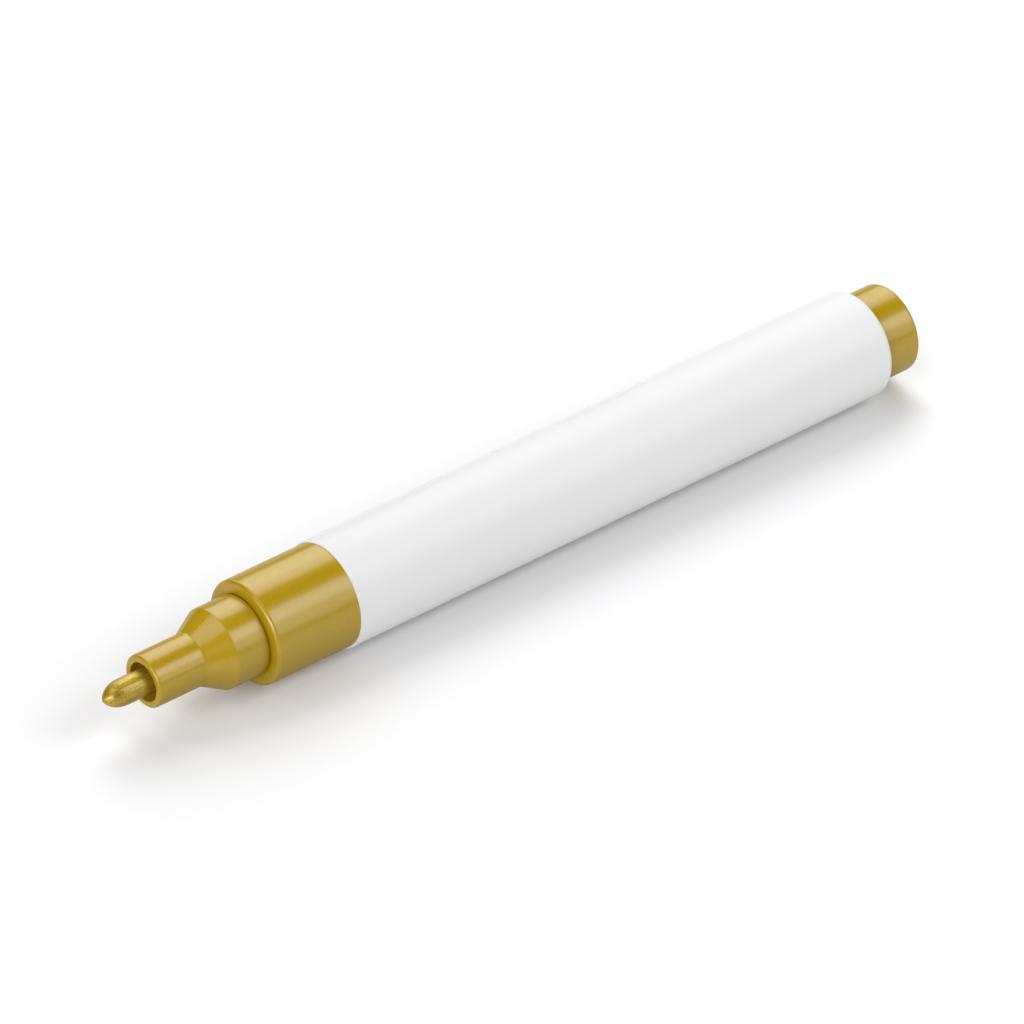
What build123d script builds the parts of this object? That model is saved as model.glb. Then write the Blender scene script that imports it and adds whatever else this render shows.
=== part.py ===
from build123d import *
import os

# Valve-action paint marker without its cap, lying on its side with the nib towards -X.
# Lengths are in millimetres. The origin is on the surface that the marker lies on, under the middle
# of its length, and the marker's own axis runs along X at half the barrel's diameter above it.

# Barrel: a plain tube, open at both ends
barrel_diameter = 15.0
barrel_length = 90.6
barrel_wall = 1.5
barrel_front_round = 0.2
barrel_rear_round = 0.9

# Front collar: a sleeve round the nozzle, a little slimmer than the barrel
collar_step = 0.27
collar_length = 13.25
collar_wall = 1.36
collar_front_round = 0.6

# Nozzle: tube, cone and cap seat outside; ribbed bore, sponge chamber and valve bore inside
seat_step = 0.25
seat_length = 5.1
seat_groove_width = 0.3
seat_groove_depth = 0.25
seat_edge_round = 0.2
cone_length = 3.6
cone_root_round = 0.4
tube_diameter = 7.28
tube_length = 7.5
tube_rim_round = 0.4
mouth_diameter = 5.36
mouth_depth = 3.0
mouth_edge_round = 0.15
rib_count = 6
rib_width = 0.8
nozzle_wall = 1.0
chamber_step = 0.4
nozzle_spigot_length = 6.0

# Nib: a round rod with a bullet point
nib_diameter = 3.6
nib_reach = 6.35
nib_point_length = 3.8
nib_rear_chamfer = 0.3
nib_shoulder_power = 2.87
nib_tip_power = 0.78
nib_point_shares = (0, 0.2, 0.4, 0.6, 0.75, 0.87, 0.95, 1)

# Valve: body, stem with its seal, spring and retainer, opened by the nib
# The shares are of the valve body's inner radius
valve_stroke = 2.0
sponge_length = 7.4
valve_wall = 1.0
valve_front_wall = 1.5
valve_hole_share = 0.45
valve_lip_share = 0.56
valve_lip_height = 0.3
flange_thickness = 1.2
flange_gap = 0.1
gasket_thickness = 0.8
stem_rod_share = 0.28
stem_head_share = 0.39
stem_head_length = 0.8
stem_spare_travel = 0.5
stem_disc_share = 0.81
stem_disc_thickness = 1.2
stem_pilot_share = 0.31
stem_pilot_length = 4.0
stem_end_chamfer = 0.3
stem_seal_share = 0.73
stem_seal_thickness = 0.8
spring_coil_share = 0.49
spring_wire = 0.45
spring_turns = 7
retainer_length = 4.0
retainer_plate = 1.2
retainer_rim = 0.8
retainer_hole_share = 0.36
retainer_window_count = 4
retainer_window_share = 0.75

# End plug: a cup whose spigot is pressed into the barrel
plug_ledge = 0.22
plug_head_length = 5.7
plug_spigot_length = 8.0
plug_wall = 1.2
plug_end_wall = 1.6
plug_rear_round = 0.5

# Squeezed O-rings in grooves on the two spigots
ring_width = 1.1
ring_groove_depth = 0.75
ring_groove_gap = 0.1

# Mixing ball, loose in the barrel
ball_diameter = 6.0

# Fits
fit_clearance = 0.02
running_clearance = 0.05
lead_in = 0.5

# Radii
barrel_radius = barrel_diameter / 2
bore_radius = barrel_radius - barrel_wall
collar_radius = barrel_radius - collar_step
collar_bore_radius = collar_radius - collar_wall
nozzle_body_radius = collar_bore_radius - fit_clearance
seat_radius = nozzle_body_radius - seat_step
tube_radius = tube_diameter / 2
mouth_radius = mouth_diameter / 2
nib_radius = nib_diameter / 2
guide_radius = nib_radius + running_clearance
valve_bore_radius = seat_radius - nozzle_wall
chamber_radius = valve_bore_radius - chamber_step
spigot_radius = bore_radius - fit_clearance
groove_radius = spigot_radius - ring_groove_depth
valve_radius = valve_bore_radius - fit_clearance
valve_inner_radius = valve_radius - valve_wall
valve_hole_radius = valve_inner_radius * valve_hole_share
valve_lip_radius = valve_inner_radius * valve_lip_share
flange_radius = bore_radius - flange_gap
stem_rod_radius = valve_inner_radius * stem_rod_share
stem_head_radius = valve_inner_radius * stem_head_share
stem_disc_radius = valve_inner_radius * stem_disc_share
stem_pilot_radius = valve_inner_radius * stem_pilot_share
stem_seal_radius = valve_inner_radius * stem_seal_share
coil_radius = valve_inner_radius * spring_coil_share
wire_radius = spring_wire / 2
retainer_radius = valve_inner_radius - fit_clearance
retainer_inner_radius = retainer_radius - retainer_rim
retainer_hole_radius = valve_inner_radius * retainer_hole_share
retainer_window_radius = (retainer_inner_radius - retainer_hole_radius) / 2 * retainer_window_share
plug_radius = bore_radius + plug_ledge
ball_radius = ball_diameter / 2

# Stations along X, from the joint between the collar and the barrel
nose_length = collar_length + seat_length + cone_length + tube_length + nib_reach
tail_length = barrel_length + plug_head_length
joint_x = (nose_length - tail_length) / 2
collar_front_x = joint_x - collar_length
seat_front_x = collar_front_x - seat_length
cone_front_x = seat_front_x - cone_length
mouth_x = cone_front_x - tube_length
nib_tip_x = mouth_x - nib_reach
nib_shoulder_x = nib_tip_x + nib_point_length
rib_front_x = mouth_x + mouth_depth
chamber_front_x = seat_front_x
valve_front_x = chamber_front_x + sponge_length
valve_wall_rear_x = valve_front_x + valve_front_wall
seal_front_x = valve_wall_rear_x + valve_lip_height
disc_front_x = seal_front_x + stem_seal_thickness
disc_rear_x = disc_front_x + stem_disc_thickness
pilot_rear_x = disc_rear_x + stem_pilot_length
stem_front_x = valve_front_x - stem_spare_travel - valve_stroke
nozzle_rear_x = joint_x + nozzle_spigot_length
nozzle_ring_x = joint_x + nozzle_spigot_length / 2
flange_front_x = nozzle_rear_x + gasket_thickness
valve_rear_x = flange_front_x + flange_thickness
retainer_front_x = valve_rear_x - retainer_length
plate_rear_x = retainer_front_x + retainer_plate
barrel_rear_x = joint_x + barrel_length
plug_front_x = barrel_rear_x - plug_spigot_length
plug_ring_x = barrel_rear_x - plug_spigot_length / 2
plug_rear_x = barrel_rear_x + plug_head_length

axis_height = barrel_radius
marker_axis = Axis((0, 0, axis_height), (1, 0, 0))
section_plane = Plane((0, 0, axis_height), x_dir=(1, 0, 0), z_dir=(0, -1, 0))


def cross_plane(x):
    """The plane square to the marker's axis at a station."""
    return Plane((x, 0, axis_height), x_dir=(0, 1, 0), z_dir=(1, 0, 0))


def ring_section(x_front, x_rear, inner_radius, outer_radius, mode=Mode.ADD):
    """Draw the half section of a ring, or of a rod where the inner radius is zero."""
    with Locations(((x_front + x_rear) / 2, (inner_radius + outer_radius) / 2)):
        Rectangle(x_rear - x_front, outer_radius - inner_radius, mode=mode)


def groove_section(x_middle):
    """Cut the half section of an O-ring's groove out of a spigot's section."""
    half_width = ring_width / 2 + ring_groove_gap
    ring_section(x_middle - half_width, x_middle + half_width, groove_radius, bore_radius, Mode.SUBTRACT)


def squeezed_ring_section(x_middle):
    """Draw the half section of an O-ring between its groove and the barrel's bore."""
    with Locations((x_middle, (groove_radius + bore_radius) / 2)):
        Ellipse(ring_width / 2, (bore_radius - groove_radius) / 2 - fit_clearance)


def rims(piece, x):
    """The circular edges of a piece at the station nearest to x, the smallest first."""
    stations = piece.edges().filter_by(GeomType.CIRCLE).group_by(Axis.X)
    nearest = min(stations, key=lambda edges: abs(edges[0].center().X - x))
    return nearest.sort_by(SortBy.RADIUS)


with BuildPart() as barrel:
    with BuildSketch(section_plane):
        ring_section(joint_x, barrel_rear_x, bore_radius, barrel_radius)
    revolve(axis=marker_axis)
    fillet(rims(barrel, joint_x)[-1], barrel_front_round)
    fillet(rims(barrel, barrel_rear_x)[-1], barrel_rear_round)

with BuildPart() as front_collar:
    with BuildSketch(section_plane):
        ring_section(collar_front_x, joint_x, collar_bore_radius, collar_radius)
    revolve(axis=marker_axis)
    fillet(rims(front_collar, collar_front_x)[-1], collar_front_round)

with BuildPart() as nozzle:
    with BuildSketch(section_plane):
        with BuildLine():
            Polyline(
                (mouth_x, mouth_radius),
                (mouth_x, tube_radius),
                (cone_front_x, tube_radius),
                (seat_front_x, seat_radius),
                (collar_front_x, seat_radius),
                (collar_front_x, nozzle_body_radius),
                (joint_x, nozzle_body_radius),
                (joint_x, spigot_radius),
                (nozzle_rear_x, spigot_radius),
                (nozzle_rear_x, valve_bore_radius),
                (valve_front_x, valve_bore_radius),
                (valve_front_x, chamber_radius),
                (chamber_front_x, chamber_radius),
                (chamber_front_x, mouth_radius),
                close=True,
            )
        make_face()
        groove_section(nozzle_ring_x)
        ring_section(
            collar_front_x - seat_groove_width,
            collar_front_x,
            seat_radius - seat_groove_depth,
            seat_radius,
            Mode.SUBTRACT,
        )
    revolve(axis=marker_axis)
    fillet(rims(nozzle, mouth_x)[-1], tube_rim_round)
    fillet(rims(nozzle, mouth_x)[0], mouth_edge_round)
    fillet(rims(nozzle, cone_front_x)[-1], cone_root_round)
    fillet(rims(nozzle, seat_front_x)[-1], seat_edge_round)
    chamfer(rims(nozzle, nozzle_rear_x)[-1], lead_in)
    # Ribs centre the nib and leave channels for paint and air between them
    rib_root_radius = (mouth_radius + tube_radius) / 2
    with BuildSketch(cross_plane(rib_front_x)):
        with PolarLocations((guide_radius + rib_root_radius) / 2, rib_count):
            Rectangle(rib_root_radius - guide_radius, rib_width)
    extrude(amount=chamber_front_x - rib_front_x)

with BuildPart() as nib:
    with BuildSketch(section_plane):
        with BuildLine():
            Polyline(
                (nib_tip_x, 0),
                (stem_front_x, 0),
                (stem_front_x, nib_radius),
                (nib_shoulder_x, nib_radius),
            )
            point_outline = [
                (
                    nib_shoulder_x - nib_point_length * share,
                    nib_radius * (1 - share**nib_shoulder_power) ** nib_tip_power,
                )
                for share in nib_point_shares
            ]
            Spline(*point_outline, tangents=[(-1, 0), (0, -1)])
        make_face()
    revolve(axis=marker_axis)
    chamfer(rims(nib, stem_front_x)[-1], nib_rear_chamfer)

with BuildPart() as nib_sponge:
    with BuildSketch(section_plane):
        ring_section(chamber_front_x, valve_front_x, guide_radius, chamber_radius - running_clearance)
    revolve(axis=marker_axis)

with BuildPart() as valve_body:
    with BuildSketch(section_plane):
        ring_section(valve_front_x, valve_wall_rear_x, valve_hole_radius, valve_radius)
        ring_section(valve_wall_rear_x, seal_front_x, valve_hole_radius, valve_lip_radius)
        ring_section(valve_front_x, valve_rear_x, valve_inner_radius, valve_radius)
        ring_section(flange_front_x, valve_rear_x, valve_inner_radius, flange_radius)
    revolve(axis=marker_axis)

with BuildPart() as valve_gasket:
    with BuildSketch(section_plane):
        ring_section(nozzle_rear_x, flange_front_x, valve_radius + fit_clearance, flange_radius)
    revolve(axis=marker_axis)

with BuildPart() as valve_stem:
    with BuildSketch(section_plane):
        ring_section(stem_front_x, disc_front_x, 0, stem_rod_radius)
        ring_section(stem_front_x, stem_front_x + stem_head_length, 0, stem_head_radius)
        ring_section(disc_front_x, disc_rear_x, 0, stem_disc_radius)
        ring_section(disc_rear_x, pilot_rear_x, 0, stem_pilot_radius)
    revolve(axis=marker_axis)
    chamfer(rims(valve_stem, pilot_rear_x), stem_end_chamfer)

with BuildPart() as stem_seal:
    with BuildSketch(section_plane):
        ring_section(seal_front_x, disc_front_x, stem_rod_radius + fit_clearance, stem_seal_radius)
    revolve(axis=marker_axis)

with BuildPart() as spring_retainer:
    with BuildSketch(section_plane):
        ring_section(retainer_front_x, plate_rear_x, retainer_hole_radius, retainer_radius)
        ring_section(retainer_front_x, valve_rear_x, retainer_inner_radius, retainer_radius)
    revolve(axis=marker_axis)
    with BuildSketch(cross_plane(retainer_front_x)):
        with PolarLocations((retainer_hole_radius + retainer_inner_radius) / 2, retainer_window_count):
            Circle(retainer_window_radius)
    extrude(amount=retainer_plate, mode=Mode.SUBTRACT)

with BuildPart() as valve_spring:
    spring_end_gap = wire_radius + fit_clearance
    coil_length = retainer_front_x - disc_rear_x - 2 * spring_end_gap
    with BuildLine() as coil:
        Helix(
            pitch=coil_length / spring_turns,
            height=coil_length,
            radius=coil_radius,
            center=(disc_rear_x + spring_end_gap, 0, axis_height),
            direction=(1, 0, 0),
        )
    with BuildSketch(Plane(coil.line @ 0, z_dir=coil.line % 0)):
        Circle(wire_radius)
    sweep(path=coil.line, is_frenet=True)

with BuildPart() as barrel_seal:
    with BuildSketch(section_plane):
        squeezed_ring_section(nozzle_ring_x)
    revolve(axis=marker_axis)

with BuildPart() as end_plug:
    with BuildSketch(section_plane):
        ring_section(plug_front_x, barrel_rear_x, 0, spigot_radius)
        ring_section(barrel_rear_x, plug_rear_x, 0, plug_radius)
        ring_section(plug_front_x, plug_rear_x - plug_end_wall, 0, spigot_radius - plug_wall, Mode.SUBTRACT)
        groove_section(plug_ring_x)
    revolve(axis=marker_axis)
    fillet(rims(end_plug, plug_rear_x)[-1], plug_rear_round)
    chamfer(rims(end_plug, plug_front_x)[-1], lead_in)

with BuildPart() as plug_seal:
    with BuildSketch(section_plane):
        squeezed_ring_section(plug_ring_x)
    revolve(axis=marker_axis)

# The ball lies on the lower side of the bore
ball_height = axis_height - bore_radius + ball_radius + running_clearance
with BuildPart() as mixing_ball:
    with Locations((0, 0, ball_height)):
        Sphere(ball_radius)

pieces = {
    "barrel": barrel,
    "front_collar": front_collar,
    "nozzle": nozzle,
    "nib": nib,
    "nib_sponge": nib_sponge,
    "valve_body": valve_body,
    "valve_gasket": valve_gasket,
    "valve_stem": valve_stem,
    "stem_seal": stem_seal,
    "spring_retainer": spring_retainer,
    "valve_spring": valve_spring,
    "barrel_seal": barrel_seal,
    "end_plug": end_plug,
    "plug_seal": plug_seal,
    "mixing_ball": mixing_ball,
}
os.makedirs("parts", exist_ok=True)
for name, piece in pieces.items():
    piece.part.label = name
    export_step(piece.part, f"parts/{name}.step")
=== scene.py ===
import math

import bmesh
import bpy
import numpy as np
from mathutils import Matrix, Vector


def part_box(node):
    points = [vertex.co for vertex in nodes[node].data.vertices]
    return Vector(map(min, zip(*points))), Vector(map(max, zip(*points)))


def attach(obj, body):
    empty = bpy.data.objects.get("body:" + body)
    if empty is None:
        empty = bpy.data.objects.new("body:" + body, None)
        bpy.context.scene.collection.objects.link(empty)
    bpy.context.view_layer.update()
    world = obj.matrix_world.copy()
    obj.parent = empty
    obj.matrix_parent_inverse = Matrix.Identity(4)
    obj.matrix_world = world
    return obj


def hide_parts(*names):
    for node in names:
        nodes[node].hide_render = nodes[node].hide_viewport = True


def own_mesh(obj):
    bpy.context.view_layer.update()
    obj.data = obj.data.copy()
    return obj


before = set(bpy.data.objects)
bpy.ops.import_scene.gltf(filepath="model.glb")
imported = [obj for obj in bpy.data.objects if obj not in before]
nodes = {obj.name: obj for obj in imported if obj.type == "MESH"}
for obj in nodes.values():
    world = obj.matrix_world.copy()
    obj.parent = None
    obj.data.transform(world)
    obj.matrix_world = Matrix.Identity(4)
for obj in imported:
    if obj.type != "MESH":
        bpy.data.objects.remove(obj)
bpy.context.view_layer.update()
scene = bpy.context.scene
MM = 0.001

# The marker's axis runs along X at this height
barrel_low, barrel_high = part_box("barrel")
AXIS_Z = (barrel_low[2] + barrel_high[2]) / 2

# Wet paint inside the nozzle's mouth, out to this distance from the axis, with an uneven edge; its lighter
# colour is also painted light in the shaded bore
WET_LIT_RADIUS = 2.65 * MM
WET_LIT_EDGE = 0.1 * MM

# The nib's rounded point, the chamfer at its rear end and its mesh
NIB_POINT = 3.8 * MM
NIB_SHOULDER_POWER = 2.87
NIB_TIP_POWER = 0.78
NIB_CHAMFER = 0.3 * MM
NIB_SEGMENTS = 288
NIB_RINGS = 90

# The nib's fibre relief: its depth, how soon it fades towards the tip, and the seed of its noise
RELIEF_DEPTH = 0.022 * MM
RELIEF_FADE = 1.4
RELIEF_SEED = 7

# Each layer's share of the relief, its strands around the nib and its strand lengths along the nib
RELIEF_LAYERS = ((0.45, 40, 9), (0.3, 84, 16), (0.25, 144, 30))

# The studio: half the table's side, and the strength of the world's faint light
TABLE_HALF = 1.6
WORLD_STRENGTH = 0.01

# The photograph's viewing angle
CAMERA_PLACE = (-0.57003, -0.68763, 0.63415)
CAMERA_LOOK = (0.5226, 0.6297, -0.5747)
CAMERA_LENS_MM = 296.35
CAMERA_SENSOR_MM = 36.0
CAMERA_CLIP = (0.05, 20.0)


class Graph:
    """A material's node tree, with short ways to add and join nodes."""

    def __init__(self, name):
        self.material = bpy.data.materials.new(name)
        self.material.use_nodes = True
        self.tree = self.material.node_tree
        self.shader = self.tree.nodes["Principled BSDF"]
        self.place = self.add("ShaderNodeTexCoord").outputs["Object"]

    def add(self, kind, **settings):
        node = self.tree.nodes.new(kind)
        for key, value in settings.items():
            setattr(node, key, value)
        return node

    def put(self, socket, value):
        """Join another node's output to an input, or set the input to a plain value."""
        if isinstance(value, bpy.types.NodeSocket):
            self.tree.links.new(value, socket)
        else:
            socket.default_value = value

    def feed(self, node, **values):
        """Fill a node's inputs by name, with spaces written as underscores."""
        for key, value in values.items():
            self.put(node.inputs[key.replace("_", " ")], value)

    def noise(self, per_metre, detail=2.0, roughness=0.5, distortion=0.0):
        """Noise in the object's own coordinates; its scale per metre is one number, or one for each axis."""
        vector, scale = self.place, per_metre
        if isinstance(per_metre, tuple):
            mapping = self.add("ShaderNodeMapping")
            self.feed(mapping, Vector=self.place, Scale=per_metre)
            vector, scale = mapping.outputs["Vector"], 1.0
        node = self.add("ShaderNodeTexNoise")
        self.feed(node, Vector=vector, Scale=scale, Detail=detail, Roughness=roughness, Distortion=distortion)
        return node.outputs["Fac"]

    def cells(self, per_metre):
        node = self.add("ShaderNodeTexVoronoi")
        self.feed(node, Vector=self.place, Scale=per_metre)
        return node

    def flakes(self, per_metre):
        """Two random values from 0 to 1 for each of many small cells."""
        split = self.add("ShaderNodeSeparateColor")
        self.feed(split, Color=self.cells(per_metre).outputs["Color"])
        return split.outputs["Red"], split.outputs["Green"]

    def remap(self, value, span=(0.3, 0.7), to=(0.0, 1.0)):
        """Stretch a span of values, by default the usual range of noise, to another one."""
        node = self.add("ShaderNodeMapRange")
        self.feed(node, Value=value, From_Min=span[0], From_Max=span[1], To_Min=to[0], To_Max=to[1])
        return node.outputs["Result"]

    def math(self, operation, first, second):
        node = self.add("ShaderNodeMath", operation=operation)
        self.put(node.inputs[0], first)
        self.put(node.inputs[1], second)
        return node.outputs["Value"]

    def blend(self, factor, first, second):
        """A colour between two others. The Mix node's sockets share names, so they go by place."""
        node = self.add("ShaderNodeMix", data_type="RGBA")
        for index, value in ((0, factor), (6, first), (7, second)):
            self.put(node.inputs[index], value)
        return node.outputs[2]

    def bump(self, height, strength, distance):
        node = self.add("ShaderNodeBump")
        self.feed(node, Height=height, Strength=strength, Distance=distance)
        return node.outputs["Normal"]


def colour(red, green, blue):
    return (red, green, blue, 1.0)


def grey(level):
    return colour(level, level, level)


def wet_and_lit_share(g, mottle, radius):
    """1 within the given radius of the marker's axis and 0 outside it, with a smeared edge."""
    crosswise = g.add("ShaderNodeVectorMath", operation="MULTIPLY")
    g.put(crosswise.inputs[0], g.place)
    g.put(crosswise.inputs[1], (0, 1, 1))
    off_axis = g.add("ShaderNodeVectorMath", operation="DISTANCE")
    g.put(off_axis.inputs[0], crosswise.outputs["Vector"])
    g.put(off_axis.inputs[1], (0, 0, AXIS_Z))
    smear = g.math("ADD", off_axis.outputs["Value"], g.remap(mottle, to=(-WET_LIT_EDGE, WET_LIT_EDGE)))
    return g.remap(smear, span=(radius, radius + WET_LIT_EDGE), to=(1.0, 0.0))


def gold_plastic(name, wet_lit_radius=0.0):
    """Moulded plastic with gold pigment: metallic flakes under a smooth gloss, with faint flow marks.

    Wet paint covers whatever lies within the given radius of the marker's axis, in a lighter gold that is
    also painted light brightening the shaded bore.
    """
    g = Graph(name)
    flow = g.noise((70, 260, 260), detail=3.0)
    mottle = g.noise(900.0)
    sparkle, shine = g.flakes(9000.0)
    deep_gold = colour(0.42, 0.27, 0.002)
    fair_gold = colour(0.445, 0.288, 0.003)
    dull_gold = colour(0.405, 0.26, 0.002)
    flake_gold = colour(0.62, 0.45, 0.03)
    # painted light: the wet paint's gold is lighter so that the shaded bore of the mouth looks lit
    wet_and_lit_gold = colour(0.78, 0.48, 0.02)
    base = g.blend(g.remap(flow), deep_gold, fair_gold)
    base = g.blend(g.remap(mottle, span=(0.35, 0.65), to=(0.0, 0.35)), base, dull_gold)
    base = g.blend(g.remap(sparkle, span=(0.8, 1.0), to=(0.0, 0.2)), base, flake_gold)
    if wet_lit_radius:
        base = g.blend(wet_and_lit_share(g, mottle, wet_lit_radius), base, wet_and_lit_gold)
    height = g.math("ADD", g.math("MULTIPLY", mottle, 0.3), flow)
    g.feed(
        g.shader,
        Base_Color=base,
        Metallic=g.remap(shine, span=(0.0, 1.0), to=(0.06, 0.18)),
        Roughness=g.remap(mottle, to=(0.46, 0.54)),
        Specular_IOR_Level=0.0,
        Specular_Tint=colour(1.0, 0.78, 0.3),
        Coat_Weight=0.48,
        Coat_Roughness=0.24,
        Coat_IOR=2.0,
        Normal=g.bump(height, strength=0.05, distance=0.04 * MM),
    )
    return g.material


def white_plastic():
    """Extruded white plastic: satin, with faint lengthwise draw lines and small scuffs."""
    g = Graph("white_plastic")
    draw = g.noise((12, 1400, 1400), detail=3.0)
    cloud = g.noise(60.0, detail=3.0)
    grain = g.noise(5200.0, detail=1.0)
    scuff = g.noise((160, 900, 900), detail=4.0)
    line_white = colour(0.81, 0.81, 0.815)
    base = g.blend(g.remap(cloud), grey(0.83), grey(0.845))
    base = g.blend(g.remap(draw, span=(0.4, 0.7), to=(0.0, 0.25)), base, line_white)
    scuffed = g.remap(scuff, span=(0.5, 0.75), to=(0.0, 0.02))
    height = g.math("ADD", g.math("MULTIPLY", draw, 0.7), g.math("MULTIPLY", grain, 0.3))
    g.feed(
        g.shader,
        Base_Color=base,
        Roughness=g.math("ADD", g.remap(cloud, to=(0.25, 0.30)), scuffed),
        IOR=1.46,
        Specular_IOR_Level=0.015,
        Diffuse_Roughness=1.0,
        Coat_Weight=0.055,
        Coat_Roughness=0.26,
        Coat_IOR=2.0,
        Subsurface_Weight=0.25,
        Subsurface_Radius=(1.0, 1.0, 1.0),
        Subsurface_Scale=3 * MM,
        Normal=g.bump(height, strength=0.02, distance=0.03 * MM),
    )
    return g.material


def painted_fibre():
    """Pressed fibre soaked with gold paint: a satin metallic film over faint fibre lines and fine grain, with
    painted shade darkening the grooves between the lines.
    """
    g = Graph("painted_fibre")
    lines = g.noise((330, 2300, 2300), detail=3.0, roughness=0.6, distortion=0.5)
    grain = g.noise(5200.0, roughness=0.6)
    shine, sparkle = g.flakes(12000.0)
    # painted shade: where the fibre lines sink into grooves the gold is darker, on top of the lines' own tone
    groove_shade_gold = colour(0.23, 0.145, 0.002)
    strand_gold = colour(0.50, 0.34, 0.015)
    grain_gold = colour(0.64, 0.46, 0.07)
    flake_gold = colour(0.75, 0.56, 0.12)
    base = g.blend(g.remap(lines), groove_shade_gold, strand_gold)
    base = g.blend(g.remap(grain, span=(0.5, 0.75), to=(0.0, 0.5)), base, grain_gold)
    base = g.blend(g.remap(sparkle, span=(0.75, 1.0), to=(0.0, 0.35)), base, flake_gold)
    height = g.math("ADD", g.math("MULTIPLY", lines, 0.6), g.math("MULTIPLY", grain, 0.7))
    g.feed(
        g.shader,
        Base_Color=base,
        Metallic=g.remap(shine, span=(0.0, 1.0), to=(0.25, 0.5)),
        Roughness=g.remap(grain, to=(0.44, 0.32)),
        Specular_IOR_Level=0.0,
        Coat_Weight=0.36,
        Coat_Roughness=0.27,
        Coat_IOR=2.0,
        Normal=g.bump(height, strength=0.6, distance=0.05 * MM),
    )
    return g.material


def sponge():
    """Open absorbent fibre, stained by paint."""
    g = Graph("sponge")
    pores = g.cells(2600.0).outputs["Distance"]
    stain = g.noise(320.0, detail=3.0)
    pale_stain = colour(0.62, 0.47, 0.16)
    deep_stain = colour(0.45, 0.29, 0.03)
    pore_shade = colour(0.25, 0.15, 0.02)
    base = g.blend(g.remap(stain, span=(0.35, 0.65)), pale_stain, deep_stain)
    base = g.blend(g.remap(pores, span=(0.0, 0.5), to=(0.6, 0.0)), base, pore_shade)
    g.feed(
        g.shader,
        Base_Color=base,
        Roughness=g.remap(stain, to=(0.75, 0.92)),
        Normal=g.bump(pores, strength=0.7, distance=0.1 * MM),
    )
    return g.material


def valve_plastic():
    """Natural white moulding with a fine spark-eroded grain."""
    g = Graph("valve_plastic")
    grain = g.noise(4200.0, detail=3.0)
    cloud = g.noise(260.0)
    dim_white = colour(0.70, 0.70, 0.67)
    fair_white = colour(0.76, 0.76, 0.74)
    g.feed(
        g.shader,
        Base_Color=g.blend(g.remap(cloud, span=(0.35, 0.65)), dim_white, fair_white),
        Roughness=g.remap(grain, to=(0.45, 0.6)),
        Subsurface_Weight=0.1,
        Subsurface_Scale=0.6 * MM,
        Normal=g.bump(grain, strength=0.15, distance=0.03 * MM),
    )
    return g.material


def seal_rubber():
    """Black elastomer with a dusty bloom."""
    g = Graph("seal_rubber")
    bloom = g.noise(700.0, detail=4.0)
    grain = g.noise(6000.0)
    clean_black = colour(0.018, 0.018, 0.019)
    dusty_black = colour(0.05, 0.05, 0.052)
    g.feed(
        g.shader,
        Base_Color=g.blend(g.remap(bloom, span=(0.4, 0.75)), clean_black, dusty_black),
        Roughness=g.remap(bloom, to=(0.5, 0.72)),
        Normal=g.bump(grain, strength=0.2, distance=0.02 * MM),
    )
    return g.material


def steel():
    """Bright stainless steel with fine drawing lines."""
    g = Graph("steel")
    lines = g.noise((9000, 500, 500))
    haze = g.noise(800.0)
    g.feed(
        g.shader,
        Base_Color=g.blend(g.remap(haze), colour(0.58, 0.58, 0.59), grey(0.66)),
        Metallic=1.0,
        Roughness=g.remap(lines, to=(0.16, 0.3)),
        Normal=g.bump(lines, strength=0.08, distance=0.02 * MM),
    )
    return g.material


def table_white():
    """The pale studio table: white to the camera and in reflections, greyer where it lights the marker."""
    g = Graph("table_white")
    cloud = g.remap(g.noise(3.0))
    seen = g.blend(cloud, colour(0.93, 0.932, 0.942), colour(0.94, 0.942, 0.952))
    bounced = g.blend(cloud, grey(0.38), grey(0.39))
    path = g.add("ShaderNodeLightPath")
    shows = g.math("MAXIMUM", path.outputs["Is Camera Ray"], path.outputs["Is Glossy Ray"])
    shows = g.math("MAXIMUM", shows, path.outputs["Is Transmission Ray"])
    g.feed(g.shader, Base_Color=g.blend(shows, bounced, seen), Roughness=0.9, Specular_IOR_Level=0.0)
    return g.material


gold = gold_plastic("gold_plastic")
valve_white = valve_plastic()
rubber = seal_rubber()
bright_steel = steel()
fibre = painted_fibre()
materials = {
    "barrel": white_plastic(),
    "front_collar": gold,
    # the nozzle's bore carries the wet paint, lightened as painted light
    "nozzle": gold_plastic("nozzle_with_lit_bore", wet_lit_radius=WET_LIT_RADIUS),
    "end_plug": gold,
    "nib": fibre,
    "nib_sponge": sponge(),
    "valve_body": valve_white,
    "valve_stem": valve_white,
    "spring_retainer": valve_white,
    "valve_gasket": rubber,
    "stem_seal": rubber,
    "barrel_seal": rubber,
    "plug_seal": rubber,
    "valve_spring": bright_steel,
    "mixing_ball": bright_steel,
}
for name, material in materials.items():
    mesh = nodes[name].data
    mesh.materials.clear()
    mesh.materials.append(material)


def cell_and_share(positions):
    """The lattice cell of each position, and its smoothed share of the way to the next cell."""
    cell = np.floor(positions).astype(int)
    share = positions - cell
    return cell, share * share * (3 - 2 * share)


def lattice_noise(rng, turns, lengths, around, along):
    """Smooth noise on a cylinder, periodic around it, with a row of values for each place along it."""
    spare_rows = 3
    grid = rng.random((lengths + spare_rows, turns))
    row, row_share = cell_and_share(along * lengths)
    column, column_share = cell_and_share(around * turns)
    lines = grid[row] * (1 - row_share)[:, None] + grid[row + 1] * row_share[:, None]
    return lines[:, column] * (1 - column_share) + lines[:, (column + 1) % turns] * column_share


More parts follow.
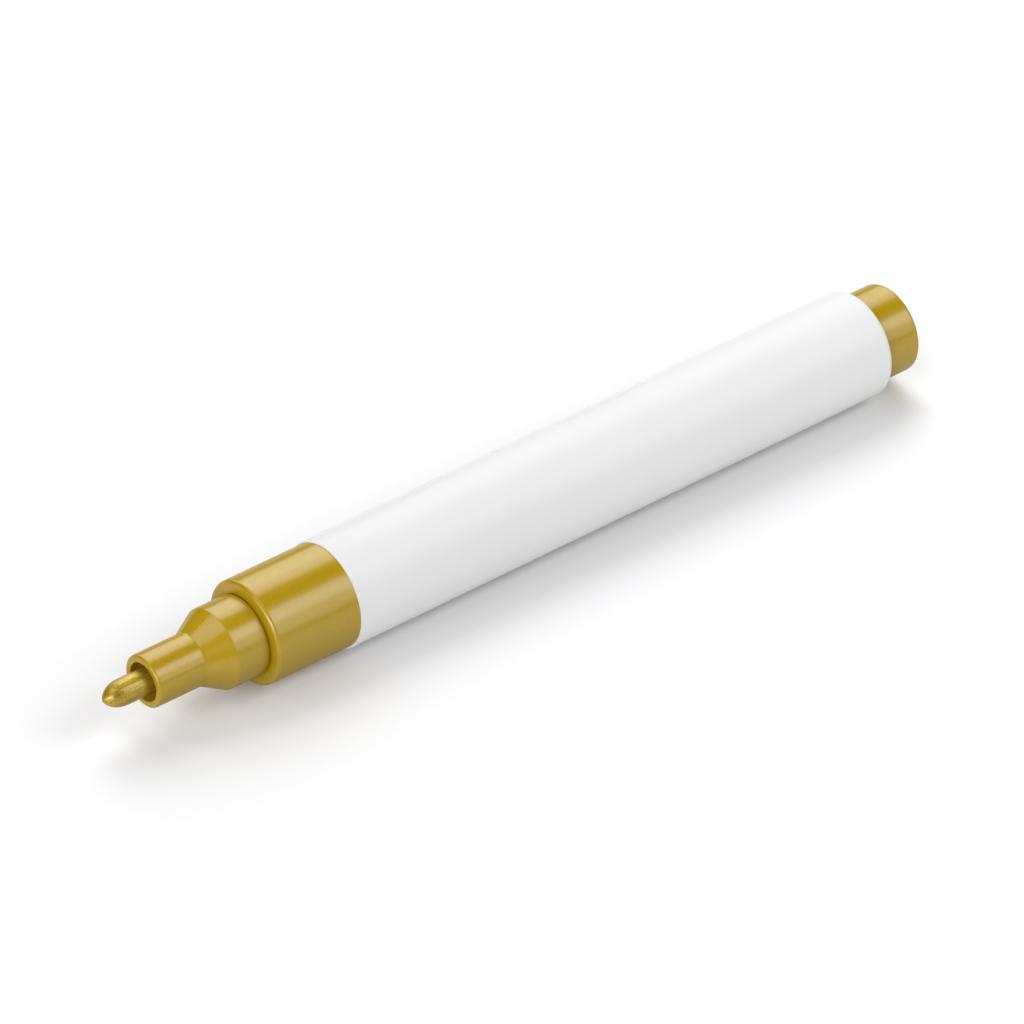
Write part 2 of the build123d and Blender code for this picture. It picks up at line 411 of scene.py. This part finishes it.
def nib_outline(front, rear, radius):
    """Places along X and the radius at each, from just behind the tip to the chamfered rear end."""
    shares = np.sin(np.linspace(np.pi / 2, 0, NIB_RINGS))[1:]
    point_x = front + NIB_POINT * (1 - shares)
    point_radius = radius * (1 - shares**NIB_SHOULDER_POWER) ** NIB_TIP_POWER
    rod_x = np.linspace(front + NIB_POINT, rear - NIB_CHAMFER, NIB_RINGS)[1:]
    xs = np.concatenate((point_x, rod_x, [rear]))
    radii = np.concatenate((point_radius, np.full(len(rod_x), radius), [radius - NIB_CHAMFER]))
    return xs, radii


def fibre_relief(around, along):
    """How far the fibres stand up, with the middle of the noise's range stretched to 0 to 1."""
    rng = np.random.default_rng(RELIEF_SEED)
    relief = 0
    for share, turns, lengths in RELIEF_LAYERS:
        relief += share * lattice_noise(rng, turns, lengths, around, along)
    middle_low, middle_span = 0.3, 0.4
    return np.clip((relief - middle_low) / middle_span, 0, 1)


def fibre_nib():
    """The nib as a bundle of pressed fibres, inside the CAD nib's outline."""
    low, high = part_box("nib")
    radius = (high[2] - low[2]) / 2
    xs, radii = nib_outline(low[0], high[0], radius)
    around = np.arange(NIB_SEGMENTS) / NIB_SEGMENTS
    relief = fibre_relief(around, (xs - low[0]) / (high[0] - low[0]))
    depth = RELIEF_DEPTH * np.minimum(1, radii / radius * RELIEF_FADE)
    reach = radii[:, None] - depth[:, None] * (1 - relief)
    mesh = bmesh.new()
    rings = []
    for x, ring_reach in zip(xs, reach):
        ring = []
        for turn, r in zip(around, ring_reach):
            angle = 2 * math.pi * turn
            ring.append(mesh.verts.new((x, r * math.cos(angle), AXIS_Z + r * math.sin(angle))))
        rings.append(ring)
    columns = [(column, (column + 1) % NIB_SEGMENTS) for column in range(NIB_SEGMENTS)]
    for first, second in zip(rings, rings[1:]):
        for column, follow in columns:
            mesh.faces.new((first[column], first[follow], second[follow], second[column]))
    tip = mesh.verts.new((low[0], 0, AXIS_Z))
    rear = mesh.verts.new((high[0], 0, AXIS_Z))
    for column, follow in columns:
        mesh.faces.new((tip, rings[0][follow], rings[0][column]))
        mesh.faces.new((rear, rings[-1][column], rings[-1][follow]))
    bmesh.ops.recalc_face_normals(mesh, faces=mesh.faces)
    data = bpy.data.meshes.new("nib_fibres")
    mesh.to_mesh(data)
    mesh.free()
    for polygon in data.polygons:
        polygon.use_smooth = True
    piece = bpy.data.objects.new("nib_fibres", data)
    scene.collection.objects.link(piece)
    data.materials.append(fibre)
    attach(piece, "nib")
    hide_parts("nib")


def sprung_coils():
    """The valve spring, which in the marker shortens as the stem moves back; here a fixed copy of it rides
    with the barrel.
    """
    piece = bpy.data.objects.new("spring_coils", nodes["valve_spring"].data.copy())
    scene.collection.objects.link(piece)
    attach(piece, "barrel")
    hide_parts("valve_spring")
    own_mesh(piece)


fibre_nib()
sprung_coils()


def table():
    """A square table top at the frame's floor."""
    corners = [(-1, -1), (1, -1), (1, 1), (-1, 1)]
    mesh = bpy.data.meshes.new("table")
    mesh.from_pydata([(x * TABLE_HALF, y * TABLE_HALF, 0) for x, y in corners], [], [(0, 1, 2, 3)])
    mesh.materials.append(table_white())
    floor = bpy.data.objects.new("table", mesh)
    scene.collection.objects.link(floor)


def panel(name, centre, along, width, length, radiance):
    """A rectangular lamp that faces the marker; its length runs along the given direction."""
    lamp = bpy.data.lights.new(name, "AREA")
    lamp.shape = "RECTANGLE"
    lamp.size = length
    lamp.size_y = width
    lamp.energy = radiance * math.pi * width * length
    holder = bpy.data.objects.new(name, lamp)
    x_axis = Vector(along).normalized()
    z_axis = Vector(centre) - Vector((0, 0, AXIS_Z))
    z_axis -= x_axis * z_axis.dot(x_axis)
    z_axis.normalize()
    y_axis = z_axis.cross(x_axis)
    turn = Matrix((x_axis, y_axis, z_axis)).transposed().to_4x4()
    holder.matrix_world = Matrix.Translation(Vector(centre)) @ turn
    holder.visible_camera = False
    scene.collection.objects.link(holder)


def long_panel(name, lean, width, radiance, reach=0.6, x=0.37, length=0.6):
    """A lamp parallel to the marker, leaning from the vertical by an angle towards -Y."""
    angle = math.radians(lean)
    centre = (x, -reach * math.sin(angle), AXIS_Z + reach * math.cos(angle))
    panel(name, centre, (1, 0, 0), width, length, radiance)


def left_panel(name, lean, width, radiance, y, length, reach=0.8):
    """A lamp across the marker's line, leaning from the vertical by an angle towards -X."""
    angle = math.radians(lean)
    centre = (-reach * math.sin(angle), y, AXIS_Z + reach * math.cos(angle))
    panel(name, centre, (0, 1, 0), width, length, radiance)


table()
long_panel("behind_wide", lean=-43, width=0.69, radiance=2.95, x=0.31)
long_panel("behind_core", lean=-42, width=0.22, radiance=0.8, reach=0.59, x=0.33)
long_panel("front_wide", lean=54, width=0.64, radiance=1.82)
long_panel("front_core", lean=42, width=0.26, radiance=1.85, reach=0.59)
left_panel("left_high", lean=25, width=0.26, radiance=2.4, y=0.15, length=0.8)
left_panel("left_fore", lean=68, width=0.42, radiance=6.1, y=-0.5, length=0.6)
left_panel("left_low", lean=78, width=0.28, radiance=3.7, y=0.0, length=0.6)

world = bpy.data.worlds.new("studio")
scene.world = world
world.use_nodes = True
background = world.node_tree.nodes["Background"]
background.inputs["Color"].default_value = grey(1.0)
background.inputs["Strength"].default_value = WORLD_STRENGTH

camera_data = bpy.data.cameras.new("camera")
camera_data.sensor_width = CAMERA_SENSOR_MM
camera_data.lens = CAMERA_LENS_MM
camera_data.clip_start, camera_data.clip_end = CAMERA_CLIP
camera = bpy.data.objects.new("camera", camera_data)
camera.location = CAMERA_PLACE
camera.rotation_mode = "QUATERNION"
camera.rotation_quaternion = Vector(CAMERA_LOOK).to_track_quat("-Z", "Y")
scene.collection.objects.link(camera)
scene.camera = camera

scene.view_settings.view_transform = "Standard"
